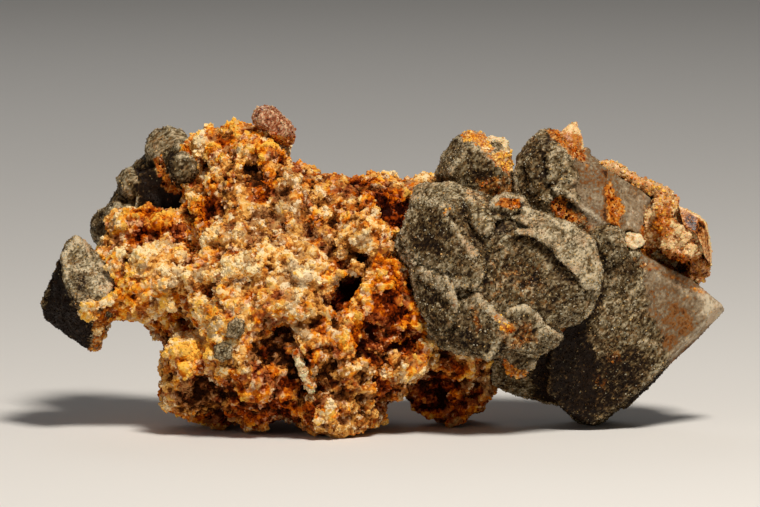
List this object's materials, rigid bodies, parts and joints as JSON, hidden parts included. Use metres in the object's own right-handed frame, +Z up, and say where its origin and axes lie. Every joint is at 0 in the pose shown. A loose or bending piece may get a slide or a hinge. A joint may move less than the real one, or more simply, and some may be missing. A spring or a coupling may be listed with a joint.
{
  "type": "stolzite specimen",
  "caption": "Loose mineral specimen: grey druse-crusted dipyramid crystals at both ends of a crumbly, iron-stained quartz matrix.",
  "frame": {"origin": "on the surface that the specimen rests on, under the middle of its bounding box", "axes": "+X along the length, towards the sharp-pointed crystal, +Z up, -Y out of the show side"},
  "size_m": [0.08, 0.0276, 0.0383],
  "materials": {
    "gossan": "crumbly, matt to glittering limonite-stained quartz, cream to orange and red-brown",
    "druse": "grey-olive crystal faces crusted with fine sparkling druse, smooth and satin where bare",
    "stained_quartz": "translucent cream to orange-brown quartz, glassy faces with stained pits",
    "pale_quartz": "waxy cream quartz",
    "brown_crystal": "smooth pink-brown crystal with a soft gloss"
  },
  "bodies": {
    "root": {"matrix": "gossan", "front_crystal": "druse", "foot_crystal": "druse", "lower_right_crystal": "druse", "upper_right_crystal": "druse", "block_crystal": "druse", "left_end_crystal": "druse", "back_left_crystals": "druse", "small_grey_crystal": "druse", "top_knob_crystal": "brown_crystal", "right_quartz_cluster": "stained_quartz", "spike_crystal": "stained_quartz", "block_quartz": "pale_quartz", "pale_quartz_chip": "pale_quartz", "pale_quartz_blade": "pale_quartz"}
  },
  "joints": []
}
